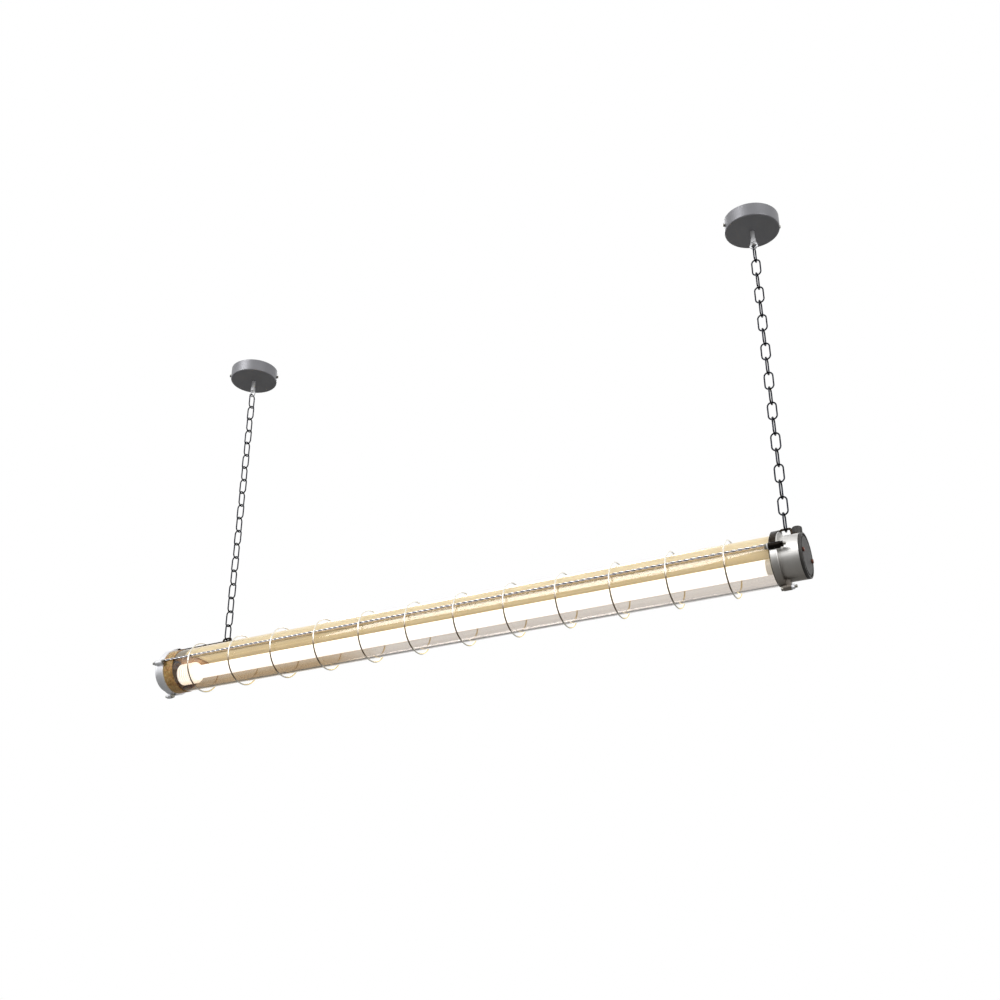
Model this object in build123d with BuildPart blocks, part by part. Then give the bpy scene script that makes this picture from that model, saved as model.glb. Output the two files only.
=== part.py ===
from build123d import *
import math
import os

# A sealed tubular lamp in a wire guard, hung level by two chains from two round ceiling cups.
# Millimetres, +Z up, X along the lamp, -Y towards the viewer of the photograph.
# The origin is on the ceiling, midway between the two cups.

# Hanging
chain_span = 1140.0
link_wire = 2.8
link_width = 18.0
link_pitch = 30.0
link_gap = 0.3
links_per_chain = 19

# Ceiling cups
cup_radius = 50.0
cup_height = 27.0
cup_wall = 1.2
cup_edge = 3.0
cup_turn = 30.0
strap_width = 16.0
strap_sheet = 2.0
strap_drop = 8.0
strap_mid = 11.0
strap_slope = 4.0
strap_ear = 17.0
ceiling_hole_spacing = 60.0
ceiling_hole_radius = 2.25
side_screw_height = 13.5
side_screw_radius = 2.0
side_screw_tail = 2.0
side_head_radius = 3.0
side_head_length = 3.2
slot_width = 0.9
slot_depth = 1.2
stem_radius = 4.0
stem_top = 1.2
stem_edge = 0.6
stem_below_cup = 16.0
stem_nut_flats = 13.0
stem_nut_height = 6.0
eye_sleeve_radius = 5.0
eye_sleeve_length = 9.0
eye_floor = 2.0
eye_ring_radius = 6.0
eye_wire_radius = 1.9
eye_ring_room = 0.4
eye_edge = 0.5
eye_round = 1.2

# Glass, and how far it stands out past the chains
glass_radius = 42.0
glass_wall = 3.5
glass_seat_room = 1.0
film_sheet = 0.4
film_angle = 22.0
film_right_inset = 2.0
film_left_inset = 19.0
left_overhang = 128.0
right_overhang = -14.0

# Wire guard
ring_count = 12
first_ring_inset = 75.0
last_ring_inset = 79.0
ring_wire = 2.6
rail_strand = 2.0
rail_play = 0.15
rail_above_glass = 1.15
rail_angle = 16.0
rail_lug_angle = 8.5

# Clamp bolts of both ends
bolt_radius = 2.5
bolt_above_glass = 6.5
bolt_flats = 8.0
bolt_nut = 4.0
bolt_tail = 4.0
lug_half_width = 5.5
lug_reach = 5.0
low_lug_width = 6.0
terminal_radius = 5.2
terminal_sheet = 2.0
washer_radius = 5.0
washer_sheet = 1.0

# Right end
seat_wall = 3.0
flange_edge = 0.8
ring_grip = 5.0
ring_width = 12.0
body_step = 4.0
body_wall = 2.7
body_length = 32.0
neck_step = 1.2
neck_length = 4.0
body_lug = 7.0
lip_width = 1.8
lid_seal = 1.0
lid_thickness = 4.0
lid_spigot = 4.0
lid_edge = 0.6
lid_groove_depth = 1.8
lid_groove_width = 3.4
lid_rim = 3.0
lid_screw_inset = 10.5
lid_screw_radius = 2.0
lid_screw_head = 3.8
lid_screw_rise = 2.6
lid_screw_tail = 8.0
lid_screw_edge = 0.5
boss_side = 5.0
boss_half = 4.5
boss_root = 1.0
boss_floor = 2.0
boss_length = 14.0

# Left end
cap_grip = 8.0
cap_flange_width = 14.0
cap_length = 14.0
cap_wall = 3.0
cap_side_wall = 4.0
cap_edge = 4.0
sleeve_length = 22.0
sleeve_wall = 1.05
seat_depth = 3.0
seat_lip = 6.0
pin_boss_wall = 2.0
pin_boss_length = 8.0

# Hangers on the lamp
crown_above_glass = 8.0
bail_radius = 2.0
bail_half = 8.0
bail_slope = 2.3
bail_bend = 3.0
pad_width = 12.0
pad_sheet = 2.5
pad_toe = 5.2
pad_heel = 4.0
pad_corner = 1.5
ring_pad_inset = 4.5
saddle_angle = 18.0
saddle_inset = 1.0
saddle_sheet = 2.0
saddle_lap = 0.5
body_pad_inset = 9.5
arm_width = 10.0
arm_sheet = 3.0
arm_lift = 1.2
arm_step = 3.0
arm_seat = 1.0
arm_bend = 1.5
arm_end = 12.0
hanger_screw_radius = 1.6
hanger_screw_head = 2.8
hanger_screw_rise = 1.6
hanger_screw_depth = 2.3

# Cable gland
gland_inset = 10.5
gland_y = 17.0
gland_boss_radius = 9.5
gland_boss_height = 4.0
gland_nut_radius = 8.5
gland_nut_height = 18.0
gland_nut_edge = 2.5
gland_thread = 5.0
gland_sink = 1.1
gland_wall = 1.0
gland_bore = 3.5
gland_seal_height = 3.0

# Gear tray, which draws out to the right with the lid
tray_room = 0.5
tray_sheet = 1.2
tray_left_inset = 71.0
tray_right_reach = 2.0
tray_angle = 25.0
roof_half = 15.0
roof_rise = 4.4
roof_bend = 0.2
wing_bend = 0.5
lip_sheet = 1.0
lip_slant = 0.6
wing_angle = 22.4
wing_room = 1.7
lip_angle = 17.7
lip_room = 1.3
end_block_length = 45.0
right_block = 8.0
bracket_sheet = 3.0
bracket_half = 12.0
bracket_low = -20.0
bracket_inset = 4.8
bracket_corner = 3.0
strut_radius = 2.5
strut_collar = 1.5
strut_y = 20.0
strut_drop = 12.8
pin_radius = 3.0
pin_drop = 10.8
pin_engaged = 12.0
pin_point = 1.0
pin_hole_spare = 2.0

# Light tube and its holders
tube_radius = 13.0
tube_wall = 0.8
tube_axis = -8.0
tube_left_inset = 47.0
tube_right_inset = 7.0
tube_cap = 15.0
tube_cap_wall = 0.5
tube_pin_radius = 1.2
tube_pin_spacing = 12.7
tube_pin_length = 7.0
tube_pin_root = 6.0
tube_pin_room = 1.0
holder_radius = 13.2
holder_groove = 1.6
collar_radius = 21.0
collar_room = 0.4
collar_bore = 13.6
collar_length = 35.0
collar_ribs = 7
collar_rib_share = 0.62
collar_rib_depth = 1.2

# Gear
driver_length = 280.0
driver_half_width = 14.0
driver_height = 11.0
driver_edge = 1.0
driver_place = 747.0
driver_tab = 10.0
driver_tab_sheet = 1.5
block_length = 28.0
block_half_width = 11.0
block_height = 11.0
block_inset = 58.0
clamp_hole_radius = 1.8
clamp_hole_depth = 3.0
wire_radius = 1.1
wire_y = 8.0
wire_above_roof = 7.0
tray_screw_radius = 1.5
tray_screw_head = 2.6
tray_screw_rise = 1.6

fit = 0.05
hole_room = 0.2
play = 0.3

# Heights that follow from those sizes
eye_ring_z = -(cup_height + stem_below_cup + eye_sleeve_length + eye_ring_radius + eye_ring_room)
eye_pivot_z = eye_ring_z - eye_ring_radius
first_link_top = eye_pivot_z + eye_wire_radius + link_gap
link_inner = link_pitch + link_gap
crown_under = first_link_top - (links_per_chain - 1) * link_pitch - link_inner + link_gap
crown_height = glass_radius + crown_above_glass
lamp_z = crown_under - crown_height

# Radii round the lamp's axis
seat_radius = glass_radius + glass_seat_room
flange_radius = seat_radius + seat_wall
body_radius = glass_radius - body_step
body_bore = body_radius - body_wall
neck_radius = body_radius - neck_step
rail_radius = glass_radius + rail_above_glass + rail_strand
ring_radius = rail_radius + rail_strand + rail_play + ring_wire / 2
bolt_circle = glass_radius + bolt_above_glass
low_head_notch = bolt_flats / 2 / math.cos(math.radians(30)) + play
tray_radius = body_bore - tray_room
lid_groove_outer = body_radius - lid_rim
lid_groove_inner = lid_groove_outer - lid_groove_width
lid_screw_place = body_radius - lid_screw_inset
boss_inner = lid_screw_place - boss_side

# Heights above the lamp's axis
gland_foot = body_bore - gland_sink
gland_boss_top = body_radius + gland_boss_height
gland_nut_top = gland_boss_top + gland_nut_height
wing_y = (tray_radius - wing_room) * math.cos(math.radians(wing_angle))
wing_z = (tray_radius - wing_room) * math.sin(math.radians(wing_angle))
lip_y = (tray_radius - lip_room) * math.cos(math.radians(lip_angle))
lip_z = (tray_radius - lip_room) * math.sin(math.radians(lip_angle))
roof_height = wing_z + roof_rise
end_block_under = tube_axis + collar_radius + collar_room
bracket_high = tray_radius - bracket_inset
strut_z = tray_radius - strut_drop
pin_z = tray_radius - pin_drop
wire_z = roof_height + wire_above_roof

# Places along the lamp
anchors = {"left": -chain_span / 2, "right": chain_span / 2}
glass_left = anchors["left"] - left_overhang
glass_right = anchors["right"] + right_overhang
first_ring = glass_left + first_ring_inset
ring_pitch = (glass_right - last_ring_inset - first_ring) / (ring_count - 1)
rings = [first_ring + k * ring_pitch for k in range(ring_count)]
ring_left = glass_right - ring_grip
ring_right = ring_left + ring_width
lip_left = ring_left - lip_width
body_right = ring_right + body_length
ring_pad_x = ring_left + ring_pad_inset
body_pad_x = body_right - body_pad_inset
gland_x = body_right - gland_inset
cap_flange_right = glass_left + cap_grip
cap_flange_left = cap_flange_right - cap_flange_width
cap_left = cap_flange_left - cap_length
sleeve_right = cap_flange_right + sleeve_length
tray_left = glass_left + tray_left_inset
film_left = glass_left + film_left_inset
tray_right = glass_right + tray_right_reach
end_block_left = tray_left - end_block_length
pin_right = end_block_left + pin_engaged
tube_left = glass_left + tube_left_inset
tube_right = glass_right - tube_right_inset
driver_left = tray_left + driver_place
block_left = tray_right - block_inset

rail_lugs = (rail_lug_angle, 180 - rail_lug_angle)
low_lug = 270.0
lug_angles = rail_lugs + (low_lug,)
rails = {
    "guard_rail_back": (rail_angle, rail_lugs[0]),
    "guard_rail_front": (180 - rail_angle, rail_lugs[1]),
}

os.makedirs("parts", exist_ok=True)


def keep(part, name):
    """Label a finished piece and write it."""
    part.label = name
    export_step(part, f"parts/{name}.step")


def across(x, height=0.0):
    """The plane square to the lamp at x: its own x is +Y and its own y is +Z."""
    return Plane(origin=(x, 0, lamp_z + height), x_dir=(0, 1, 0), z_dir=(1, 0, 0))


def level(x, y, z):
    """A level plane at a point."""
    return Plane(origin=(x, y, z))


def upright(x, z):
    """The plane along the lamp at x, seen from the front: its own y is +Z."""
    return Plane(origin=(x, 0, z), x_dir=(1, 0, 0), z_dir=(0, -1, 0))


def polar(radius, degrees):
    """A point on a circle round the lamp's axis, in a plane square to it."""
    angle = math.radians(degrees)
    return (radius * math.cos(angle), radius * math.sin(angle))


def disc(x0, x1, radius, bore=0.0, height=0.0):
    """A disc or ring round the lamp's axis from x0 to x1."""
    with BuildPart() as made:
        with BuildSketch(across(x0, height)):
            Circle(radius)
            if bore:
                Circle(bore, mode=Mode.SUBTRACT)
        extrude(amount=x1 - x0)
    return made.part


# Ceiling cups and what holds them

def make_cup(x):
    """The pressed cup, open against the ceiling, with holes for the stem and the side screws."""
    turned = Plane(origin=(x, 0, -side_screw_height), x_dir=turn_axis(90), z_dir=turn_axis(0))
    inner_edge = cup_edge - cup_wall
    hole = stem_radius + hole_room
    with BuildPart() as cup:
        with BuildSketch(upright(x, -cup_height)):
            with BuildLine():
                Line((hole, 0), (cup_radius - cup_edge, 0))
                RadiusArc((cup_radius - cup_edge, 0), (cup_radius, cup_edge), -cup_edge)
                Polyline(
                    (cup_radius, cup_edge), (cup_radius, cup_height),
                    (cup_radius - cup_wall, cup_height), (cup_radius - cup_wall, cup_edge),
                )
                RadiusArc(
                    (cup_radius - cup_wall, cup_edge), (cup_radius - cup_edge, cup_wall), inner_edge
                )
                Polyline((cup_radius - cup_edge, cup_wall), (hole, cup_wall), (hole, 0))
            make_face()
        revolve(axis=Axis((x, 0, 0), (0, 0, 1)))
        with BuildSketch(turned):
            Circle(side_screw_radius + hole_room)
        extrude(amount=cup_radius, both=True, mode=Mode.SUBTRACT)
    return cup.part


def turn_axis(extra):
    """A level direction, turned with the cup's side screws."""
    angle = math.radians(cup_turn + extra)
    return (math.cos(angle), math.sin(angle), 0)


strap_end = math.sqrt((cup_radius - cup_wall - play) ** 2 - (strap_width / 2) ** 2)


def make_strap(x):
    """The ceiling strap: feet against the ceiling, a dropped middle and two tapped ears."""
    side = Plane(origin=(x, 0, 0), x_dir=turn_axis(0), z_dir=turn_axis(-90))
    ear_plane = Plane(origin=(x, 0, -side_screw_height), x_dir=turn_axis(90), z_dir=turn_axis(0))
    feet = Plane(origin=(x, 0, 0), x_dir=turn_axis(0), z_dir=(0, 0, 1))
    low = -strap_drop - strap_sheet
    slope_out = strap_mid + strap_slope
    with BuildPart() as strap:
        with BuildSketch(side):
            with BuildLine():
                Polyline(
                    (0, -strap_drop), (strap_mid, -strap_drop), (slope_out, 0), (strap_end, 0),
                    (strap_end, -strap_ear), (strap_end - strap_sheet, -strap_ear),
                    (strap_end - strap_sheet, -strap_sheet),
                    (slope_out + strap_sheet / 2, -strap_sheet),
                    (strap_mid + strap_sheet / 2, low), (0, low), close=True,
                )
            make_face()
            mirror(about=Plane.YZ)
        extrude(amount=strap_width / 2, both=True)
        with BuildSketch(feet):
            with Locations((-ceiling_hole_spacing / 2, 0), (ceiling_hole_spacing / 2, 0)):
                Circle(ceiling_hole_radius)
            Circle(stem_radius + fit)
        extrude(amount=-strap_ear, mode=Mode.SUBTRACT)
        with BuildSketch(ear_plane):
            Circle(side_screw_radius + fit)
        extrude(amount=cup_radius, both=True, mode=Mode.SUBTRACT)
    return strap.part


def make_side_screws(x):
    """Two slotted screws that hold the cup to the strap's ears."""
    shank = cup_radius - strap_end + strap_sheet + side_screw_tail
    with BuildPart() as screws:
        for extra in (0, 180):
            out = turn_axis(extra)
            seat = Plane(
                origin=(x + out[0] * (cup_radius + play), out[1] * (cup_radius + play),
                        -side_screw_height),
                x_dir=turn_axis(extra + 90), z_dir=out,
            )
            with BuildSketch(seat):
                Circle(side_head_radius)
            extrude(amount=side_head_length)
            with BuildSketch(seat.offset(side_head_length)):
                Rectangle(2 * side_head_radius, slot_width)
            extrude(amount=-slot_depth, mode=Mode.SUBTRACT)
            with BuildSketch(seat):
                Circle(side_screw_radius)
            extrude(amount=-shank)
    return screws.part


def make_stem(x):
    """The threaded stem from the strap down to the chain eye."""
    bottom = -(cup_height + stem_below_cup + eye_sleeve_length - eye_floor)
    with BuildPart() as stem:
        with BuildSketch(level(x, 0, bottom)):
            Circle(stem_radius)
        extrude(amount=-stem_top - bottom)
        chamfer(stem.edges().group_by(Axis.Z)[-1], stem_edge)
    return stem.part


def make_stem_nuts(x):
    """The nut above the strap and the lock nut under it."""
    with BuildPart() as nuts:
        for z in (-strap_drop, -strap_drop - strap_sheet - stem_nut_height):
            with BuildSketch(level(x, 0, z)):
                RegularPolygon(stem_nut_flats / 2, 6, major_radius=False)
                Circle(stem_radius + fit, mode=Mode.SUBTRACT)
            extrude(amount=stem_nut_height)
    return nuts.part


def make_eye(x):
    """A sleeve on the stem's end with the ring that the first link hangs in."""
    top = -(cup_height + stem_below_cup)
    with BuildPart() as eye:
        with BuildSketch(level(x, 0, top - eye_sleeve_length)):
            Circle(eye_sleeve_radius)
        extrude(amount=eye_sleeve_length)
        fillet(eye.edges().group_by(Axis.Z)[0], eye_round)
        chamfer(eye.edges().group_by(Axis.Z)[-1], eye_edge)
        ring_section = Plane(
            origin=(x + eye_ring_radius, 0, eye_ring_z), x_dir=(1, 0, 0), z_dir=(0, 0, 1)
        )
        with BuildSketch(ring_section):
            Circle(eye_wire_radius)
        revolve(axis=Axis((x, 0, eye_ring_z), (0, 1, 0)))
        with BuildSketch(level(x, 0, top)):
            Circle(stem_radius + fit)
        extrude(amount=-(eye_sleeve_length - eye_floor), mode=Mode.SUBTRACT)
    return eye.part


for side, x in anchors.items():
    keep(make_cup(x), f"{side}_canopy")
    keep(make_strap(x), f"{side}_ceiling_strap")
    keep(make_side_screws(x), f"{side}_canopy_screws")
    keep(make_stem(x), f"{side}_stem")
    keep(make_stem_nuts(x), f"{side}_stem_nuts")
    keep(make_eye(x), f"{side}_chain_eye")


# Chains

def make_link(x, number):
    """One welded link. Odd links stand across the lamp, even links along it."""
    top = first_link_top - (number - 1) * link_pitch
    middle = top - link_inner / 2
    half_width = link_width / 2 - link_wire / 2
    half_straight = (link_inner + link_wire) / 2 - half_width
    side_dir = (0, 1, 0) if number % 2 else (1, 0, 0)
    normal = (1, 0, 0) if number % 2 else (0, -1, 0)
    face = Plane(origin=(x, 0, middle), x_dir=side_dir, z_dir=normal)
    with BuildPart() as link:
        with BuildLine(face) as path:
            Line((half_width, -half_straight), (half_width, half_straight))
            CenterArc((0, half_straight), half_width, 0, 180)
            Line((-half_width, half_straight), (-half_width, -half_straight))
            CenterArc((0, -half_straight), half_width, 180, 180)
        with BuildSketch(Plane(origin=path.line @ 0, z_dir=path.line % 0)):
            Circle(link_wire / 2)
        sweep(path=path.line)
    return link.part


def make_chain(x):
    """Every link but the first, each a solid of its own."""
    with BuildPart() as chain:
        for number in range(2, links_per_chain + 1):
            add(make_link(x, number))
    return chain.part


for side, x in anchors.items():
    keep(make_link(x, 1), f"{side}_top_link")
    keep(make_chain(x), f"{side}_chain_links")


# Glass and guard

keep(disc(glass_left, glass_right, glass_radius, glass_radius - glass_wall), "glass_tube")

with BuildPart() as film:
    with BuildSketch(across(film_left)):
        with BuildLine():
            outer = CenterArc((0, 0), glass_radius - glass_wall - fit, film_angle, 180 - 2 * film_angle)
            inner = CenterArc((0, 0), outer.radius - film_sheet, film_angle, 180 - 2 * film_angle)
            Line(outer @ 0, inner @ 0)
            Line(outer @ 1, inner @ 1)
        make_face()
    extrude(amount=glass_right - film_right_inset - film_left)
keep(film.part, "reflector_film")

with BuildPart() as guard_rings:
    for x in rings:
        section = Plane(origin=(x, 0, lamp_z + ring_radius), x_dir=(1, 0, 0), z_dir=(0, -1, 0))
        with BuildSketch(section):
            Circle(ring_wire / 2)
        revolve(axis=Axis((x, 0, lamp_z), (1, 0, 0)))
keep(guard_rings.part, "guard_rings")


def make_rail(degrees, lug_degrees):
    """A side rail of the guard, with a flat eye at each end for a clamp bolt."""
    with BuildPart() as rail:
        with BuildSketch(across(cap_flange_right)):
            with Locations(polar(rail_radius, degrees)):
                Circle(rail_strand)
        extrude(amount=ring_left - cap_flange_right)
        for x in (cap_flange_right, ring_left - terminal_sheet):
            with BuildSketch(across(x)):
                with Locations(polar(rail_radius, degrees)):
                    Circle(rail_strand)
                with Locations(polar(bolt_circle, lug_degrees)):
                    Circle(terminal_radius)
                make_hull()
                with Locations(polar(bolt_circle, lug_degrees)):
                    Circle(bolt_radius + fit, mode=Mode.SUBTRACT)
            extrude(amount=terminal_sheet)
    return rail.part


for name, (degrees, lug_degrees) in rails.items():
    keep(make_rail(degrees, lug_degrees), name)


# Clamp lugs, bolts and nuts that both ends share

def lug_profile(degrees):
    """A rounded lug that runs out from the flange to past the bolt circle."""
    reach = bolt_circle + lug_reach
    inner = body_bore
    with Locations(Rotation(0, 0, degrees)):
        with Locations(((inner + reach - lug_half_width) / 2, 0)):
            Rectangle(reach - lug_half_width - inner, 2 * lug_half_width)
        with Locations((reach - lug_half_width, 0)):
            Circle(lug_half_width)


def cut_bolt_holes():
    """Circles for the clamp bolts, in the sketch that is open."""
    with Locations(*[polar(bolt_circle, a) for a in lug_angles]):
        Circle(bolt_radius + fit)


def head_room(degrees, flange_width):
    """How far a bolt's head stands off the flange: over a rail's eye, or back on the short low lug."""
    return terminal_sheet if degrees in rail_lugs else low_lug_width - flange_width


def make_bolts(face_x, head_side, flange_width, tail_x):
    """Hex bolts through the lugs: the flange's inboard face, its outward side, the shanks' end."""
    with BuildPart() as bolts:
        for degrees in lug_angles:
            seat_x = face_x + head_side * head_room(degrees, flange_width)
            seat = across(seat_x)
            with BuildSketch(seat):
                with Locations(polar(bolt_circle, degrees)):
                    RegularPolygon(bolt_flats / 2, 6, major_radius=False, rotation=degrees)
            extrude(amount=head_side * bolt_nut)
            with BuildSketch(seat):
                with Locations(polar(bolt_circle, degrees)):
                    Circle(bolt_radius)
            extrude(amount=tail_x - seat_x)
    return bolts.part


def make_nuts(seat_x, seat_side):
    """Hex nuts on washers, at the bolts' outboard ends."""
    with BuildPart() as nuts:
        for degrees in lug_angles:
            with BuildSketch(across(seat_x)):
                with Locations(polar(bolt_circle, degrees)):
                    Circle(washer_radius)
                    Circle(bolt_radius + fit, mode=Mode.SUBTRACT)
            extrude(amount=seat_side * washer_sheet)
            with BuildSketch(across(seat_x + seat_side * washer_sheet)):
                with Locations(polar(bolt_circle, degrees)):
                    RegularPolygon(bolt_flats / 2, 6, major_radius=False, rotation=degrees)
                    Circle(bolt_radius + fit, mode=Mode.SUBTRACT)
            extrude(amount=seat_side * bolt_nut)
    return nuts.part


# Right end

spigot_left = glass_right + seat_depth
nut_seat = ring_right + body_lug
bolt_end = nut_seat + washer_sheet + bolt_nut + bolt_tail

with BuildPart() as clamp_ring:
    with BuildSketch(across(ring_left)):
        Circle(flange_radius)
    extrude(amount=ring_right - ring_left)
    chamfer(clamp_ring.edges(), flange_edge)
    with BuildSketch(across(ring_left)):
        for degrees in rail_lugs:
            lug_profile(degrees)
    extrude(amount=ring_width)
    with BuildSketch(across(ring_left)):
        with Locations(polar(bolt_circle, low_lug)):
            Circle(low_head_notch)
    extrude(amount=ring_width - low_lug_width, mode=Mode.SUBTRACT)
    with BuildSketch(across(ring_right - low_lug_width)):
        lug_profile(low_lug)
    extrude(amount=low_lug_width)
    with BuildSketch(across(ring_left)):
        Circle(seat_radius)
        cut_bolt_holes()
    extrude(amount=ring_right - ring_left, mode=Mode.SUBTRACT)
    with BuildSketch(level(ring_pad_x, 0, lamp_z + seat_radius - fit)):
        Circle(hanger_screw_radius + fit)
    extrude(amount=flange_radius, mode=Mode.SUBTRACT)
keep(clamp_ring.part, "right_clamp_ring")

with BuildPart() as lip_seal:
    with BuildSketch(across(lip_left)):
        Circle(glass_radius + sleeve_wall)
    extrude(amount=ring_left - lip_left)
    with BuildSketch(across(ring_left)):
        Circle(seat_radius - fit)
    extrude(amount=glass_right - ring_left)
    with BuildSketch(across(lip_left)):
        Circle(glass_radius + fit)
    extrude(amount=glass_right - lip_left, mode=Mode.SUBTRACT)
keep(lip_seal.part, "right_lip_seal")

keep(disc(glass_right, spigot_left, seat_radius - play, body_bore + play), "right_face_seal")

with BuildPart() as end_body:
    with BuildSketch(across(spigot_left)):
        Circle(seat_radius - fit)
    extrude(amount=ring_right - spigot_left)
    with BuildSketch(across(ring_right)):
        Circle(neck_radius)
    extrude(amount=neck_length)
    with BuildSketch(across(ring_right)):
        for degrees in lug_angles:
            lug_profile(degrees)
    extrude(amount=body_lug)
    with BuildSketch(across(ring_right + neck_length)):
        Circle(body_radius)
    extrude(amount=body_right - ring_right - neck_length)
    with BuildSketch(level(gland_x, gland_y, lamp_z)):
        Circle(gland_boss_radius)
    extrude(amount=gland_boss_top)
    with BuildSketch(across(spigot_left)):
        Circle(body_bore)
        cut_bolt_holes()
    extrude(amount=body_right - spigot_left, mode=Mode.SUBTRACT)
    with BuildSketch(level(gland_x, gland_y, lamp_z)):
        Circle(gland_thread + fit)
    extrude(amount=gland_boss_top, mode=Mode.SUBTRACT)
    with BuildSketch(level(body_pad_x, 0, lamp_z)):
        Circle(hanger_screw_radius + fit)
    extrude(amount=body_radius, mode=Mode.SUBTRACT)
    boss_right = body_right - lid_spigot - play
    with BuildSketch(across(boss_right)):
        for side in (-1, 1):
            with Locations((side * (boss_inner + body_bore + boss_root) / 2, 0)):
                Rectangle(body_bore + boss_root - boss_inner, 2 * boss_half)
    extrude(amount=-boss_length)
    with BuildSketch(across(boss_right)):
        with Locations((-lid_screw_place, 0), (lid_screw_place, 0)):
            Circle(lid_screw_radius + fit)
    extrude(amount=-(boss_length - boss_floor), mode=Mode.SUBTRACT)
keep(end_body.part, "right_end_body")

keep(make_bolts(ring_left, -1, ring_width, bolt_end), "right_clamp_bolts")
keep(make_nuts(nut_seat, 1), "right_clamp_nuts")


# Left end

seat_left = glass_left - seat_depth
left_bolt_end = cap_flange_left - washer_sheet - bolt_nut - bolt_tail

with BuildPart() as left_cap:
    with BuildSketch(across(cap_flange_left)):
        Circle(flange_radius)
    extrude(amount=cap_flange_right - cap_flange_left)
    chamfer(left_cap.edges(), flange_edge)
    with BuildSketch(across(cap_flange_left)):
        for degrees in rail_lugs:
            lug_profile(degrees)
    extrude(amount=cap_flange_width)
    with BuildSketch(across(cap_flange_left + low_lug_width)):
        with Locations(polar(bolt_circle, low_lug)):
            Circle(low_head_notch)
    extrude(amount=cap_flange_width - low_lug_width, mode=Mode.SUBTRACT)
    with BuildSketch(across(cap_flange_left)):
        lug_profile(low_lug)
    extrude(amount=low_lug_width)
    with BuildSketch(across(cap_left)):
        Circle(body_radius)
    extrude(amount=cap_flange_left - cap_left)
    fillet(left_cap.edges().group_by(Axis.X)[0], cap_edge)
    with BuildSketch(across(cap_left + cap_wall)):
        Circle(body_radius - cap_side_wall)
    extrude(amount=cap_flange_right - cap_left, mode=Mode.SUBTRACT)
    with BuildSketch(across(seat_left)):
        Circle(seat_radius)
    extrude(amount=cap_flange_right - seat_left, mode=Mode.SUBTRACT)
    with BuildSketch(across(cap_flange_left)):
        cut_bolt_holes()
    extrude(amount=cap_flange_right - cap_flange_left, mode=Mode.SUBTRACT)
    with BuildSketch(across(cap_left + cap_wall)):
        with Locations((0, pin_z)):
            Circle(pin_radius + pin_boss_wall)
            Circle(pin_radius + fit, mode=Mode.SUBTRACT)
    extrude(amount=pin_boss_length)
    with BuildSketch(level((cap_flange_left + cap_flange_right) / 2, 0, lamp_z + flange_radius)):
        Circle(hanger_screw_radius + fit)
    extrude(amount=-hanger_screw_depth - play, mode=Mode.SUBTRACT)
keep(left_cap.part, "left_end_cap")

with BuildPart() as sleeve:
    with BuildSketch(across(seat_left)):
        Circle(seat_radius - fit)
    extrude(amount=cap_flange_right - seat_left)
    with BuildSketch(across(cap_flange_right)):
        Circle(glass_radius + sleeve_wall)
    extrude(amount=sleeve_right - cap_flange_right)
    with BuildSketch(across(glass_left)):
        Circle(glass_radius + fit)
    extrude(amount=sleeve_right - glass_left, mode=Mode.SUBTRACT)
    with BuildSketch(across(seat_left)):
        Circle(glass_radius - seat_lip)
    extrude(amount=seat_depth, mode=Mode.SUBTRACT)
keep(sleeve.part, "left_sleeve_seal")

keep(make_bolts(cap_flange_right, 1, cap_flange_width, left_bolt_end), "left_clamp_bolts")
keep(make_nuts(cap_flange_left, -1), "left_clamp_nuts")

with BuildPart() as pin:
    with BuildSketch(across(cap_left + cap_wall)):
        with Locations((0, pin_z)):
            Circle(pin_radius)
    extrude(amount=pin_right - cap_left - cap_wall)
    chamfer(pin.edges().group_by(Axis.X)[-1], pin_point)
keep(pin.part, "left_tray_pin")


# Hangers that the lowest links hold

def bail(x, left_foot, right_foot):
    """A bent round bar over the lowest link, from one foot point to the other."""
    middle = crown_height + bail_radius
    with BuildPart() as bar:
        with BuildLine(upright(x, lamp_z)) as path:
            FilletPolyline(
                left_foot, (-bail_half, middle), (bail_half, middle), right_foot, radius=bail_bend
            )
        with BuildSketch(Plane(origin=path.line @ 0, z_dir=path.line % 0)):
            Circle(bail_radius)
        sweep(path=path.line)
    return bar.part


def pad(screw_x, side, under):
    """A foot of the hanger with its screw hole: the bar lands to the given side of the screw."""
    with BuildPart() as foot:
        with BuildSketch(level(screw_x, 0, lamp_z + under)):
            with Locations((side * (pad_toe + bail_radius - pad_heel) / 2, 0)):
                RectangleRounded(pad_toe + bail_radius + pad_heel, pad_width, pad_corner)
            Circle(hanger_screw_radius + fit, mode=Mode.SUBTRACT)
        extrude(amount=pad_sheet)
    return foot.part


def make_hanger_screws(places):
    """Pan head screws, lowest first: an x and the height of the seat above the lamp's axis."""
    with BuildPart() as screws:
        for x, seat in places:
            with BuildSketch(level(x, 0, lamp_z + seat)):
                Circle(hanger_screw_head)
            extrude(amount=hanger_screw_rise)
            fillet(screws.edges().group_by(Axis.Z)[-1], hanger_screw_rise / 2)
            with BuildSketch(level(x, 0, lamp_z + seat)):
                Circle(hanger_screw_radius)
            extrude(amount=-pad_sheet - hanger_screw_depth)
    return screws.part


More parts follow.
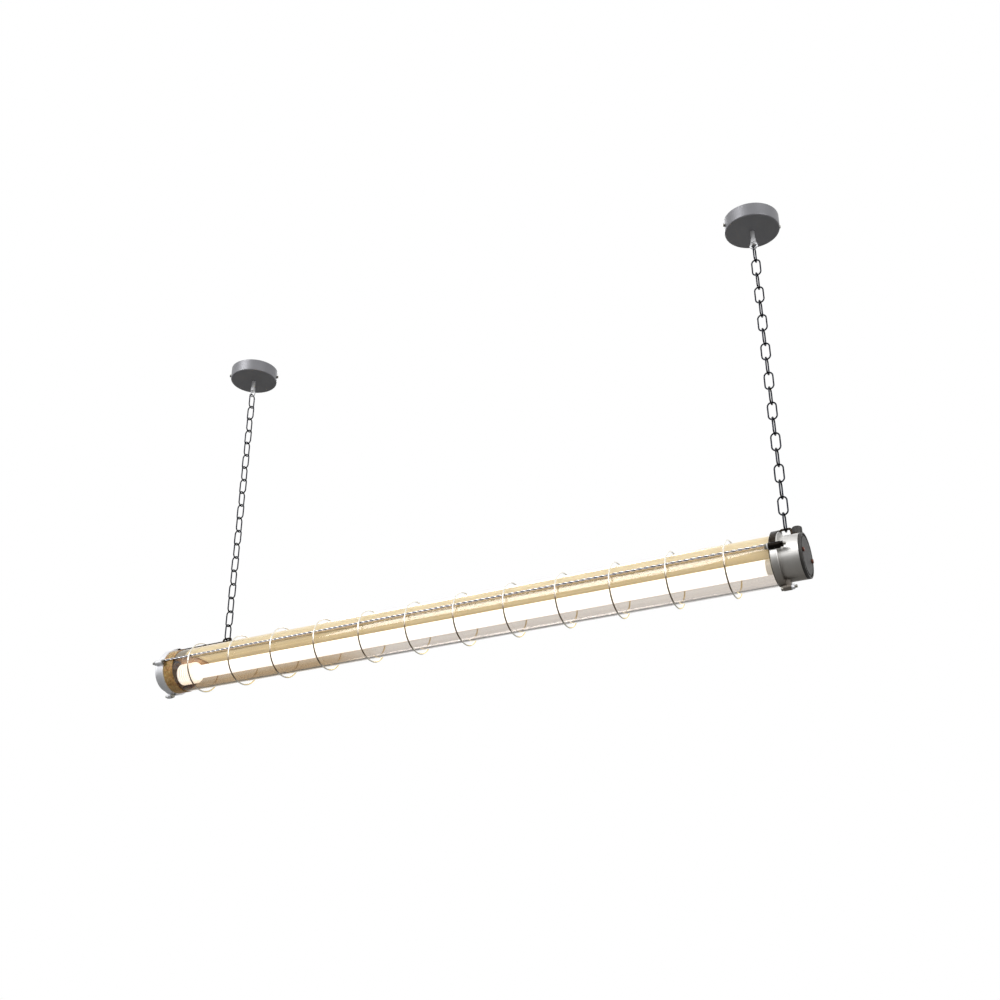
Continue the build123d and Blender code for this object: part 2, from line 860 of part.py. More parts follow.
ring_pad = flange_radius + fit
body_pad = body_radius + fit
saddle_seat = ring_pad + saddle_sheet - saddle_lap
x = anchors["right"]
with BuildPart() as right_hanger:
    with BuildSketch(across(ring_left + saddle_inset)):
        with BuildLine():
            outer = CenterArc((0, 0), ring_pad + saddle_sheet, saddle_angle, 180 - 2 * saddle_angle)
            inner = CenterArc((0, 0), ring_pad, saddle_angle, 180 - 2 * saddle_angle)
            Line(outer @ 0, inner @ 0)
            Line(outer @ 1, inner @ 1)
        make_face()
    extrude(amount=ring_width - 2 * saddle_inset)
    add(pad(ring_pad_x, 1, saddle_seat))
    add(pad(body_pad_x, -1, body_pad))
    add(bail(x, (ring_pad_x + pad_toe - x, saddle_seat + pad_sheet / 2),
             (body_pad_x - pad_toe - x, body_pad + pad_sheet / 2)))
    with BuildSketch(level(ring_pad_x, 0, lamp_z + seat_radius)):
        Circle(hanger_screw_radius + fit)
    extrude(amount=saddle_seat + pad_sheet - seat_radius, mode=Mode.SUBTRACT)
keep(right_hanger.part, "right_hanger")
keep(make_hanger_screws([(body_pad_x, body_pad + pad_sheet), (ring_pad_x, saddle_seat + pad_sheet)]),
     "right_hanger_screws")

arm_under = glass_radius + arm_lift
arm_top = arm_under + arm_sheet
flange_middle = (cap_flange_left + cap_flange_right) / 2
x = anchors["left"]
with BuildPart() as left_hanger:
    with BuildSketch(upright(0, lamp_z)):
        with BuildLine():
            Polyline(
                (cap_flange_left, ring_pad), (cap_flange_right + arm_seat, ring_pad),
                (cap_flange_right + arm_seat + arm_step, arm_under), (x + arm_end, arm_under),
                (x + arm_end, arm_top), (cap_flange_right + arm_seat + arm_bend + arm_step, arm_top),
                (cap_flange_right + arm_seat + arm_bend, ring_pad + arm_sheet),
                (cap_flange_left, ring_pad + arm_sheet),
                close=True,
            )
        make_face()
    extrude(amount=arm_width / 2, both=True)
    with BuildSketch(level(flange_middle, 0, lamp_z + ring_pad)):
        Circle(hanger_screw_radius + fit)
    extrude(amount=arm_sheet, mode=Mode.SUBTRACT)
    foot_z = arm_under + arm_sheet / 2
    add(bail(x, (-bail_half - bail_slope, foot_z), (bail_half + bail_slope, foot_z)))
keep(left_hanger.part, "left_hanger_arm")
keep(make_hanger_screws([(flange_middle, ring_pad + arm_sheet)]), "left_hanger_screw")


# Cable gland, empty

gland_seal_z = gland_nut_top - 2 * gland_seal_height

with BuildPart() as gland_body:
    with BuildSketch(level(gland_x, gland_y, lamp_z + gland_foot)):
        Circle(gland_thread)
        Circle(gland_thread - gland_wall, mode=Mode.SUBTRACT)
    extrude(amount=gland_seal_z - gland_foot)
keep(gland_body.part, "gland_body")

with BuildPart() as gland_nut:
    with BuildSketch(level(gland_x, gland_y, lamp_z + gland_boss_top)):
        Circle(gland_nut_radius)
    extrude(amount=gland_nut_top - gland_boss_top)
    fillet(gland_nut.edges().group_by(Axis.Z)[-1], gland_nut_edge)
    with BuildSketch(level(gland_x, gland_y, lamp_z + gland_boss_top)):
        Circle(gland_thread + fit)
    extrude(amount=gland_seal_z + gland_seal_height - gland_boss_top, mode=Mode.SUBTRACT)
    with BuildSketch(level(gland_x, gland_y, lamp_z + gland_boss_top)):
        Circle(gland_thread - gland_wall)
    extrude(amount=gland_nut_top - gland_boss_top, mode=Mode.SUBTRACT)
keep(gland_nut.part, "gland_nut")

with BuildPart() as gland_seal:
    with BuildSketch(level(gland_x, gland_y, lamp_z + gland_seal_z)):
        Circle(gland_thread)
        Circle(gland_bore, mode=Mode.SUBTRACT)
    extrude(amount=gland_seal_height)
keep(gland_seal.part, "gland_seal")


# Gear tray

def tray_section():
    """The D section of the tray's solid ends: the tray's round top over a flat underside."""
    Circle(tray_radius)
    with Locations((0, end_block_under - tray_radius)):
        Rectangle(2 * tray_radius, 2 * tray_radius, mode=Mode.SUBTRACT)


with BuildPart() as tray_cover:
    with BuildSketch(across(tray_left)):
        with BuildLine():
            outer = CenterArc((0, 0), tray_radius, tray_angle, 180 - 2 * tray_angle)
            inner = CenterArc((0, 0), tray_radius - tray_sheet, tray_angle, 180 - 2 * tray_angle)
            Line(outer @ 0, inner @ 0)
            Line(outer @ 1, inner @ 1)
        make_face()
    extrude(amount=tray_right - tray_left)
keep(tray_cover.part, "tray_cover")

roof_top = roof_height + tray_sheet
shelf = roof_top + fit
driver_screw_places = [
    driver_left + driver_tab / 2, driver_left + driver_length - driver_tab / 2
]
with BuildPart() as reflector:
    with BuildSketch(across(tray_left)):
        with BuildLine():
            Polyline(
                (0, roof_top), (roof_half + roof_bend, roof_top), (wing_y + wing_bend, wing_z + tray_sheet),
                (lip_y + lip_sheet, lip_z + lip_slant), (lip_y, lip_z), (wing_y, wing_z),
                (roof_half, roof_height), (0, roof_height), close=True,
            )
        make_face()
        mirror(about=Plane.YZ)
    extrude(amount=tray_right - tray_left)
    with BuildSketch(level(0, 0, lamp_z)):
        with Locations(*[(x, 0) for x in driver_screw_places]):
            Circle(tray_screw_radius + fit)
    extrude(amount=tray_radius, mode=Mode.SUBTRACT)
keep(reflector.part, "reflector")

bracket_left = end_block_left - bracket_sheet
right_block_end = tray_right + right_block
bracket_right = right_block_end + bracket_sheet

with BuildPart() as left_block:
    with BuildSketch(across(end_block_left)):
        tray_section()
    extrude(amount=tray_left - end_block_left)
    with BuildSketch(across(end_block_left)):
        with Locations((0, pin_z)):
            Circle(pin_radius + play)
    extrude(amount=pin_right - end_block_left + pin_hole_spare, mode=Mode.SUBTRACT)
keep(left_block.part, "left_tray_block")

with BuildPart() as right_block_part:
    with BuildSketch(across(tray_right)):
        tray_section()
    extrude(amount=right_block)
keep(right_block_part.part, "right_tray_block")


def make_bracket(x, has_pin):
    """The plate that carries a lamp holder under the tray's end."""
    height = bracket_high - bracket_low
    with BuildPart() as plate:
        with BuildSketch(across(x)):
            with Locations((0, bracket_low + height / 2)):
                RectangleRounded(2 * bracket_half, height, bracket_corner)
            if has_pin:
                with Locations((0, pin_z)):
                    Circle(pin_radius + play, mode=Mode.SUBTRACT)
        extrude(amount=bracket_sheet)
    return plate.part


keep(make_bracket(bracket_left, True), "left_holder_bracket")
keep(make_bracket(right_block_end, False), "right_holder_bracket")


def make_holder(plate_x, tube_end, inward):
    """A lamp holder's plug, with the ring groove that the tube's pins turn in."""
    face = tube_end - inward * play
    with BuildPart() as holder:
        with BuildSketch(across(plate_x, tube_axis)):
            Circle(holder_radius)
        extrude(amount=face - plate_x)
        with BuildSketch(across(face, tube_axis)):
            Circle(tube_pin_spacing / 2 + holder_groove)
            Circle(tube_pin_spacing / 2 - holder_groove, mode=Mode.SUBTRACT)
        extrude(amount=-inward * (tube_pin_length + tube_pin_room), mode=Mode.SUBTRACT)
    return holder.part


keep(make_holder(end_block_left, tube_left, 1), "left_lampholder")
keep(make_holder(right_block_end, tube_right, -1), "right_lampholder")

rib_step = collar_length / collar_ribs
with BuildPart() as collar:
    with BuildSketch(across(end_block_left, tube_axis)):
        Circle(collar_radius)
        Circle(collar_bore, mode=Mode.SUBTRACT)
    extrude(amount=collar_length)
    for k in range(collar_ribs):
        with BuildSketch(across(end_block_left + (k + collar_rib_share) * rib_step, tube_axis)):
            Circle(collar_radius)
            Circle(collar_radius - collar_rib_depth, mode=Mode.SUBTRACT)
        extrude(amount=(1 - collar_rib_share) * rib_step, mode=Mode.SUBTRACT)
keep(collar.part, "left_holder_collar")


# Light tube

keep(disc(tube_left + tube_cap, tube_right - tube_cap, tube_radius, tube_radius - tube_wall, tube_axis),
     "light_tube")
for name, x0, x1, wall_x in (
    ("left_tube_cap", tube_left, tube_left + tube_cap, tube_left),
    ("right_tube_cap", tube_right - tube_cap, tube_right, tube_right - tube_cap_wall),
):
    with BuildPart() as cap:
        with BuildSketch(across(x0, tube_axis)):
            Circle(tube_radius)
            Circle(tube_radius - tube_cap_wall, mode=Mode.SUBTRACT)
        extrude(amount=x1 - x0)
        with BuildSketch(across(wall_x, tube_axis)):
            Circle(tube_radius)
            with Locations((-tube_pin_spacing / 2, 0), (tube_pin_spacing / 2, 0)):
                Circle(tube_pin_radius + fit, mode=Mode.SUBTRACT)
        extrude(amount=tube_cap_wall)
    keep(cap.part, name)

with BuildPart() as tube_pins:
    for end, out in ((tube_left, -1), (tube_right, 1)):
        with BuildSketch(across(end + out * tube_pin_length, tube_axis)):
            with Locations((-tube_pin_spacing / 2, 0), (tube_pin_spacing / 2, 0)):
                Circle(tube_pin_radius)
        extrude(amount=-out * (tube_pin_length + tube_pin_root))
keep(tube_pins.part, "tube_pins")


# Gear on the tray

with BuildPart() as driver:
    with BuildSketch(level(driver_left + driver_length / 2, 0, lamp_z + shelf)):
        Rectangle(driver_length - 2 * driver_tab, 2 * driver_half_width)
    extrude(amount=driver_height)
    chamfer(driver.edges().group_by(Axis.Z)[-1], driver_edge)
    with BuildSketch(level(driver_left + driver_length / 2, 0, lamp_z + shelf)):
        Rectangle(driver_length, 2 * driver_half_width)
        with Locations((-(driver_length - driver_tab) / 2, 0), ((driver_length - driver_tab) / 2, 0)):
            Circle(tray_screw_radius + fit, mode=Mode.SUBTRACT)
    extrude(amount=driver_tab_sheet)
keep(driver.part, "led_driver")

with BuildPart() as driver_screws:
    for x in driver_screw_places:
        with BuildSketch(level(x, 0, lamp_z + shelf + driver_tab_sheet)):
            Circle(tray_screw_head)
        extrude(amount=tray_screw_rise)
        with BuildSketch(level(x, 0, lamp_z + shelf + driver_tab_sheet)):
            Circle(tray_screw_radius)
        extrude(amount=-driver_tab_sheet - tray_sheet - fit)
keep(driver_screws.part, "driver_screws")

with BuildPart() as terminals:
    with BuildSketch(level(block_left + block_length / 2, 0, lamp_z + shelf)):
        Rectangle(block_length, 2 * block_half_width)
    extrude(amount=block_height)
    with BuildSketch(level(block_left + block_length / 2, 0, lamp_z + shelf + block_height)):
        with GridLocations(block_length / 2, 2 * block_half_width / 3, 2, 3):
            Circle(clamp_hole_radius)
    extrude(amount=-clamp_hole_depth, mode=Mode.SUBTRACT)
keep(terminals.part, "terminal_block")

wire_runs = (
    (tray_left, driver_left + driver_tab),
    (driver_left + driver_length - driver_tab, block_left),
    (block_left + block_length, tray_right),
)
with BuildPart() as wires:
    for x0, x1 in wire_runs:
        with BuildSketch(across(x0)):
            with Locations((-wire_y, wire_z), (wire_y, wire_z)):
                Circle(wire_radius)
        extrude(amount=x1 - x0)
keep(wires.part, "tray_wires")


# Lid, which carries the tray on two struts

lid_left = body_right + 2 * fit + lid_seal
strut_right = body_right - lid_spigot
with BuildPart() as struts:
    with BuildSketch(across(bracket_right)):
        with Locations((-strut_y, strut_z), (strut_y, strut_z)):
            Circle(strut_radius)
    extrude(amount=strut_right - bracket_right)
    with BuildSketch(across(right_block_end)):
        with Locations((-strut_y, strut_z), (strut_y, strut_z)):
            Circle(strut_radius + strut_collar)
    extrude(amount=bracket_sheet)
keep(struts.part, "lid_struts")

with BuildPart() as lid:
    with BuildSketch(across(lid_left)):
        Circle(body_radius)
    extrude(amount=lid_thickness)
    chamfer(lid.edges().group_by(Axis.X)[-1], lid_edge)
    with BuildSketch(across(strut_right)):
        Circle(body_bore - play)
    extrude(amount=lid_left - strut_right)
    with BuildSketch(across(lid_left + lid_thickness)):
        Circle(lid_groove_outer)
        Circle(lid_groove_inner, mode=Mode.SUBTRACT)
    extrude(amount=-lid_groove_depth, mode=Mode.SUBTRACT)
    with BuildSketch(across(strut_right)):
        with Locations((-lid_screw_place, 0), (lid_screw_place, 0)):
            Circle(lid_screw_radius + fit)
    extrude(amount=lid_left + lid_thickness - strut_right, mode=Mode.SUBTRACT)
keep(lid.part, "lid")

keep(disc(lid_left - lid_seal, lid_left, body_radius - play, body_bore - play + fit), "lid_seal")

with BuildPart() as lid_screws:
    for side in (-1, 1):
        with BuildSketch(across(lid_left + lid_thickness)):
            with Locations((side * lid_screw_place, 0)):
                Circle(lid_screw_head)
        extrude(amount=lid_screw_rise)
    chamfer(lid_screws.edges().group_by(Axis.X)[-1], lid_screw_edge)
    with BuildSketch(across(lid_left + lid_thickness + lid_screw_rise)):
        with Locations((-lid_screw_place, 0), (lid_screw_place, 0)):
            Rectangle(slot_width, 2 * lid_screw_head)
    extrude(amount=-slot_depth, mode=Mode.SUBTRACT)
    with BuildSketch(across(lid_left + lid_thickness)):
        with Locations((-lid_screw_place, 0), (lid_screw_place, 0)):
            Circle(lid_screw_radius)
    extrude(amount=-(lid_left + lid_thickness - strut_right) - lid_screw_tail)
keep(lid_screws.part, "lid_screws")
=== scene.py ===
import math

import bmesh
import bpy
from mathutils import Matrix, Vector


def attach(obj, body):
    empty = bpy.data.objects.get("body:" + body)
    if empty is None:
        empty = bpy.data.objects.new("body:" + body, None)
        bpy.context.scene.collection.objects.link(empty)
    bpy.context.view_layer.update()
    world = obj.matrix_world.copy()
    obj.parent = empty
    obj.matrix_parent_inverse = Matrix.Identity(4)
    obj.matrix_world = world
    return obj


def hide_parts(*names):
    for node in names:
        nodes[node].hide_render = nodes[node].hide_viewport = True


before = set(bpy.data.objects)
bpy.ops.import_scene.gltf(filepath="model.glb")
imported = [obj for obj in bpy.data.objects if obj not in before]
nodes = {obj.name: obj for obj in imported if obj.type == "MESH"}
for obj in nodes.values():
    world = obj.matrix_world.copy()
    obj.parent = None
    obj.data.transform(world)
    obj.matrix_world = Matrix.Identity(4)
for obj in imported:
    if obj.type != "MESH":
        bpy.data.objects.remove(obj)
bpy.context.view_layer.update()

MM = 0.001

# Sizes that the pieces made here share with the model, in metres
LAMP_Z = -0.6822
GLASS_LEFT, GLASS_RIGHT = -0.698, 0.556
GLASS_RADIUS = 0.042
ROPE_LEFT, ROPE_RIGHT = -0.690, 0.551
ROPE_RADIUS = 0.04515
# A rope's flat eye: its sheet, its radius round the bolt, the hole's, and the circle the bolts are on
EYE_SHEET, EYE_RADIUS, EYE_BORE, EYE_CIRCLE = 0.002, 0.0052, 0.00255, 0.0485
# Where each rope and its eyes' bolts stand round the lamp's axis, in degrees
ROPES = {"back": (16.0, 8.5), "front": (164.0, 171.5)}

# The glass: its wall is a quarter millimetre thicker than the model's, so that the gold film's
# outer face lies within it. The two round faces' facets would otherwise show through each other
GLASS_WALL, GLASS_RIM = 0.00375, 0.8 * MM
GLASS_SEGMENTS = 160

# A rope: its strands' radius, which is also the radius they are wound at, how much of it they fill,
# and the length of one turn. A strand has so many steps a turn and so many sides
ROPE_STRANDS = 2
ROPE_STRAND, STRAND_FILL, ROPE_LAY = 0.001, 0.98, 0.023
STRAND_STEPS, STRAND_SIDES = 18.0, 10
# Points on each of an eye's two circles
EYE_POINTS = 40

# The angles in degrees from which an edge stays crisp
GLASS_CREASE, ROPE_CREASE = 35, 50

# Where tones change, in metres along X, across Y, above the lamp's axis or out from it. A pair says
# where a tone starts and where it is full
LUGS_RADIUS = 0.0462
# Painted shade on the right end's underside: where it starts and where it is full
BODY_PAINTED_SHADE = -8 * MM, -44 * MM
# Painted shade at the gold film's far end: where it starts and where it is full
FILM_PAINTED_SHADE = -0.641, -0.641 - 3 * MM
CAP_BORE, CAP_FLOOR = 0.0378, -0.7150
GLASS_BROWNED_ALONG, GLASS_BROWNED_ACROSS = (-0.2, -0.34), (-24 * MM, -14 * MM)
RINGS_LOW = 4 * MM, -14 * MM
# Painted light on the rings' lower arcs: warm at the back, painted shade at the front
RINGS_BACK_PAINTED_LIGHT, RINGS_FRONT_PAINTED_SHADE = (0.0, 10 * MM), (-8 * MM, -24 * MM)
# The cosine round a strand, from its crown to its groove, over which the rope's painted shade comes in
GROOVE_PAINTED_SHADE = 0.35, -0.25

# Noise: where most of its values lie, where a patch's edges are, its detail and roughness, and how
# strongly a grain's height bumps the surface
NOISE_RANGE = 0.3, 0.7
PATCH_RANGE = 0.35, 0.65
FINE_DETAIL, BROAD_DETAIL, PLAIN_DETAIL = 3.0, 2.0, 1.0
NOISE_ROUGHNESS = 0.55
GRAIN_STRENGTH = 0.6

# The Mix node's colour sockets, which share their names with others
COLOUR_A, COLOUR_B, COLOUR_OUT = 6, 7, 2


# Camera, at the photograph's place: a little below the lamp, looking up at it

CAMERA_TURN, CAMERA_RISE, CAMERA_DISTANCE = 27.4, 26.1, 2.3028
CAMERA_TARGET = Vector((0.0466, 0.0, -0.4588))
FOCAL_SHARE = 1.2358
SENSOR = 36.0


def place_camera():
    """A camera that looks along +Y turned towards -X, and upwards."""
    turn, rise = math.radians(CAMERA_TURN), math.radians(CAMERA_RISE)
    level = math.cos(rise)
    forward = Vector((-math.sin(turn) * level, math.cos(turn) * level, math.sin(rise)))
    right = forward.cross(Vector((0, 0, 1))).normalized()
    up = right.cross(forward)
    data = bpy.data.cameras.new("photo_camera")
    data.sensor_fit = "HORIZONTAL"
    data.sensor_width = SENSOR
    data.lens = SENSOR * FOCAL_SHARE
    camera = bpy.data.objects.new("photo_camera", data)
    bpy.context.collection.objects.link(camera)
    matrix = Matrix((right, up, -forward)).transposed().to_4x4()
    matrix.translation = CAMERA_TARGET - forward * CAMERA_DISTANCE
    camera.matrix_world = matrix
    bpy.context.scene.camera = camera


place_camera()


# Node helpers

def linear(code, alpha=1.0):
    """The linear colour of an sRGB hex code, by the sRGB standard's own curve."""
    parts = [int(code[i:i + 2], 16) / 255 for i in (1, 3, 5)]
    return tuple(c / 12.92 if c <= 0.04045 else ((c + 0.055) / 1.055) ** 2.4 for c in parts) + (alpha,)


def add(tree, kind, inputs=None, **settings):
    """Add a node with its settings, its values and the links into it."""
    node = tree.nodes.new(kind)
    for name, value in settings.items():
        setattr(node, name, value)
    for socket, value in (inputs or {}).items():
        if isinstance(value, bpy.types.NodeSocket):
            tree.links.new(value, node.inputs[socket])
        else:
            node.inputs[socket].default_value = value
    return node


def calc(tree, operation, *values):
    """The result of one sum on sockets and numbers."""
    return add(tree, "ShaderNodeMath", dict(enumerate(values)), operation=operation).outputs["Value"]


def spread(tree, value, low, high, source=NOISE_RANGE):
    """Map a value from its own range, by default a noise's, to another."""
    return add(tree, "ShaderNodeMapRange", {
        "Value": value, "From Min": source[0], "From Max": source[1], "To Min": low, "To Max": high,
    }).outputs["Result"]


def fade(tree, value, pair):
    """0 where a value is at the pair's first, rising to 1 at its second."""
    return spread(tree, value, 0.0, 1.0, pair)


def blend_colours(tree, share, first, second):
    """A colour between two, each a linear colour or a socket."""
    inputs = {"Factor": share, COLOUR_A: first, COLOUR_B: second}
    return add(tree, "ShaderNodeMix", inputs, data_type="RGBA").outputs[COLOUR_OUT]


def grain(tree, size_mm, stretch, detail):
    """Noise whose features are about size_mm across, drawn out along an axis by stretch."""
    place = add(tree, "ShaderNodeTexCoord")
    scale = tuple(1000.0 / size_mm / s for s in stretch)
    drawn = add(tree, "ShaderNodeMapping", {"Vector": place.outputs["Object"], "Scale": scale})
    return add(tree, "ShaderNodeTexNoise", {
        "Vector": drawn.outputs["Vector"], "Scale": 1.0, "Detail": detail, "Roughness": NOISE_ROUGHNESS,
    }).outputs["Fac"]


def new_finish(name, **values):
    """A material with one Principled shader, and its fixed values set on the shader's own sockets."""
    made = bpy.data.materials.new(name)
    made.use_nodes = True
    tree = made.node_tree
    shader = tree.nodes["Principled BSDF"]
    for socket, value in values.items():
        shader.inputs[socket.replace("_", " ")].default_value = value
    return made, tree, shader


def raise_grain(tree, shader, height, strength, depth_mm):
    """Bump the shader with a height that stands depth_mm proud."""
    inputs = {"Height": height, "Strength": strength, "Distance": depth_mm * MM}
    tree.links.new(add(tree, "ShaderNodeBump", inputs).outputs["Normal"], shader.inputs["Normal"])


def worn(name, light, dark, rough, grain_mm, bump_mm, metallic=0.0, stretch=(1, 1, 1),
         patch_mm=40.0, patch_share=0.5, **values):
    """A finish with a fine grain in its height and sheen, and broad soft patches in its colour."""
    made, tree, shader = new_finish(name, Metallic=metallic, **values)
    fine = grain(tree, grain_mm, stretch, FINE_DETAIL)
    broad = grain(tree, patch_mm, stretch, BROAD_DETAIL)
    both = add(tree, "ShaderNodeMix", {"Factor": patch_share, "A": fine, "B": broad}, data_type="FLOAT")
    share = spread(tree, both.outputs["Result"], 0.0, 1.0, PATCH_RANGE)
    colour = blend_colours(tree, share, linear(light), linear(dark))
    tree.links.new(colour, shader.inputs["Base Color"])
    tree.links.new(spread(tree, fine, *rough), shader.inputs["Roughness"])
    raise_grain(tree, shader, fine, GRAIN_STRENGTH, bump_mm)
    return made


def painted_glow(code, strength):
    """Painted light: a faint emission of the finish's own, which stands for the tube's light in and on
    it.
    """
    return {"Emission_Color": linear(code), "Emission_Strength": strength}


def tint_where(made, share, code):
    """Lay a second colour over a finish where the share is 1."""
    tree = made.node_tree
    shader = tree.nodes["Principled BSDF"]
    under = shader.inputs["Base Color"].links[0].from_socket
    tree.links.new(blend_colours(tree, share, under, linear(code)), shader.inputs["Base Color"])


def place_parts(tree):
    """The surface's three Object coordinates, which at rest are the frame's own."""
    place = add(tree, "ShaderNodeTexCoord")
    return add(tree, "ShaderNodeSeparateXYZ", {"Vector": place.outputs["Object"]}).outputs


def rise_above_axis(tree, parts):
    """How far the surface stands above the lamp's axis."""
    return calc(tree, "SUBTRACT", parts["Z"], LAMP_Z)


def reach_from_axis(tree, parts, rise):
    """How far the surface stands from the lamp's axis in any direction."""
    across = add(tree, "ShaderNodeCombineXYZ", {"X": parts["Y"], "Y": rise})
    reach = add(tree, "ShaderNodeVectorMath", {0: across.outputs["Vector"]}, operation="LENGTH")
    return reach.outputs["Value"]


def upper_share(tree, radius=0.0):
    """1 on what stands above the lamp's axis and further out than a radius, and 0 elsewhere."""
    parts = place_parts(tree)
    rise = rise_above_axis(tree, parts)
    outside = calc(tree, "GREATER_THAN", reach_from_axis(tree, parts, rise), radius)
    return calc(tree, "MULTIPLY", outside, calc(tree, "GREATER_THAN", rise, 0.0))


def inside_share(tree, radius, left):
    """1 nearer to the lamp's axis than a radius and right of a plane, and 0 elsewhere."""
    parts = place_parts(tree)
    within = calc(tree, "LESS_THAN", reach_from_axis(tree, parts, rise_above_axis(tree, parts)), radius)
    return calc(tree, "MULTIPLY", within, calc(tree, "GREATER_THAN", parts["X"], left))


def underside_share(tree, pair):
    """0 at the pair's first height over the lamp's axis, rising to 1 at its lower one."""
    return fade(tree, rise_above_axis(tree, place_parts(tree)), pair)


def groove_painted_shade(tree):
    """Painted shade: 1 in the grooves between a rope's strands, and 0 on their crowns.

    The front rope is read as the back one's mirror image, in which its strands turn the other way."""
    parts = place_parts(tree)
    angle = math.radians(ROPES["back"][0])
    side = calc(tree, "SUBTRACT", calc(tree, "ABSOLUTE", parts["Y"]), ROPE_RADIUS * math.cos(angle))
    rise = calc(tree, "SUBTRACT", rise_above_axis(tree, parts), ROPE_RADIUS * math.sin(angle))
    around = calc(tree, "ARCTAN2", rise, side)
    mirrored = calc(tree, "SIGN", parts["Y"])
    along = calc(tree, "SUBTRACT", parts["X"], ROPE_LEFT + EYE_SHEET)
    wound = calc(tree, "MULTIPLY", calc(tree, "MULTIPLY", along, 2 * math.pi / ROPE_LAY), mirrored)
    turned = calc(tree, "SUBTRACT", around, wound)
    crown = calc(tree, "COSINE", calc(tree, "MULTIPLY", turned, ROPE_STRANDS))
    return fade(tree, crown, GROOVE_PAINTED_SHADE)


# Finishes of the ceiling sets and the chains

# Powder-coated steel, pale grey with a metallic fleck: an even satin skin with a very fine orange peel
canopy_coat = worn("satin_grey_coated_steel", "#8C8C90", "#828286", (0.4, 0.48), metallic=0.5,
                   grain_mm=0.9, bump_mm=0.012, patch_mm=60.0)
# Bright zinc on pressed steel: dull silver with cloudy spangle
zinc = worn("zinc_plated_steel", "#C4C6C9", "#A4A7AC", (0.3, 0.48), metallic=1.0,
            grain_mm=3.0, bump_mm=0.01)
# Satin nickel on the threaded stem and its sleeve: pale, softly lit all over
satin_nickel = worn("satin_nickel_plated_brass", "#F0F0F2", "#DCDDE0", (0.3, 0.42), metallic=0.45,
                    grain_mm=0.5, stretch=(3, 3, 1), bump_mm=0.006)
# Blackened steel wire, welded and tumbled: blue-black, with lighter spots a few millimetres across,
# partly rubbed wear and partly painted glints
black_steel = worn("blackened_steel_chain", "#2E3139", "#060609", (0.16, 0.4), metallic=1.0,
                   grain_mm=2.2, bump_mm=0.04, patch_mm=6.0)
# Plain steel fasteners, lightly oiled: grey with a low sheen
plain_steel = worn("plain_steel_fasteners", "#A8A59C", "#77746D", (0.25, 0.4), metallic=1.0,
                   grain_mm=0.7, bump_mm=0.02)


# Finishes of the lamp's ends

# The dark of the painted shade on the right end's lugs and upper nuts
UPPER_PAINTED_SHADE = "#1D1916"

# Turned aluminium, satin anodised: fine rings round the axis. Painted shade darkens the underside
# towards the bottom, and painted shade darkens the lugs above the rim, which are one piece with it
clamp_ring = worn("satin_aluminium_with_painted_shade", "#EAE9E6", "#D8D6D3", (0.36, 0.48), metallic=1.0,
                  grain_mm=0.35, stretch=(1, 14, 14), bump_mm=0.012, patch_mm=30.0)
# Painted shade: the ring and the body darken towards the bottom
tint_where(clamp_ring, underside_share(clamp_ring.node_tree, BODY_PAINTED_SHADE), "#8A837B")
# Painted shade: the lugs above the rim are darkened
tint_where(clamp_ring, upper_share(clamp_ring.node_tree, LUGS_RADIUS), UPPER_PAINTED_SHADE)
# Turned aluminium on the far cap, paler as a painted highlight, and amber inside, where the silicone was
# cast into it
highlit_aluminium = worn("turned_aluminium_painted_highlight", "#F6F6F9", "#E9EAEE", (0.36, 0.46), metallic=0.75,
                        grain_mm=0.35, stretch=(1, 14, 14), bump_mm=0.01, patch_mm=30.0)
tint_where(highlit_aluminium, inside_share(highlit_aluminium.node_tree, CAP_BORE, CAP_FLOOR), "#B98A48")
# Polished chromium over turned steel: near mirror with faint turning lines
chrome = worn("chromed_steel", "#EDEDEF", "#DFE0E3", (0.08, 0.16), metallic=1.0,
              grain_mm=0.5, stretch=(3, 3, 1), bump_mm=0.004)
# The same nuts at the right end, where the upper ones are darkened by painted shade
nuts_shaded_above = chrome.copy()
nuts_shaded_above.name = "chromed_nuts_with_painted_shade"
tint_where(nuts_shaded_above, upper_share(nuts_shaded_above.node_tree), UPPER_PAINTED_SHADE)
# Sand-cast alloy under dark grey enamel: satin with a pebbled skin
dark_casting = worn("dark_enamelled_casting", "#454340", "#2C2A28", (0.46, 0.6), metallic=0.15,
                    grain_mm=1.1, bump_mm=0.05)
# Oil-blacked spring steel strap and bar: brown-black
bronzed_steel = worn("oil_blacked_steel", "#3E342A", "#15110E", (0.3, 0.5), metallic=0.9,
                     grain_mm=1.6, bump_mm=0.05, patch_mm=9.0)
# Coppered screws, dulled by the air: a muted red-brown
copper_screw = worn("dull_coppered_screws", "#8A5A4C", "#5C352A", (0.35, 0.5), metallic=0.9,
                    grain_mm=0.8, bump_mm=0.02)
# Moulded rubber: matt black with a dusty bloom
black_rubber = worn("moulded_rubber", "#1C1B1B", "#101010", (0.6, 0.75), grain_mm=0.8, bump_mm=0.02)
# Cast silicone, amber and slightly clear, which the lamp lights from inside
amber_silicone = worn("amber_silicone", "#E4BE7A", "#9E7436", (0.25, 0.5), grain_mm=4.0, bump_mm=0.3,
                      patch_mm=7.0, Subsurface_Weight=0.3, Subsurface_Scale=0.004)


# Finishes of the guard

# Drawn stainless wire: bright, with a faint grain. Below the axis the rings carry painted light: warm
# yellow at the back for the tube's light on them, and painted shade at the front
guard_wire = worn("drawn_stainless_wire", "#FBF9F2", "#F1ECDF", (0.12, 0.24), metallic=1.0,
                  grain_mm=0.5, bump_mm=0.006, patch_mm=12.0)
wire_tree = guard_wire.node_tree
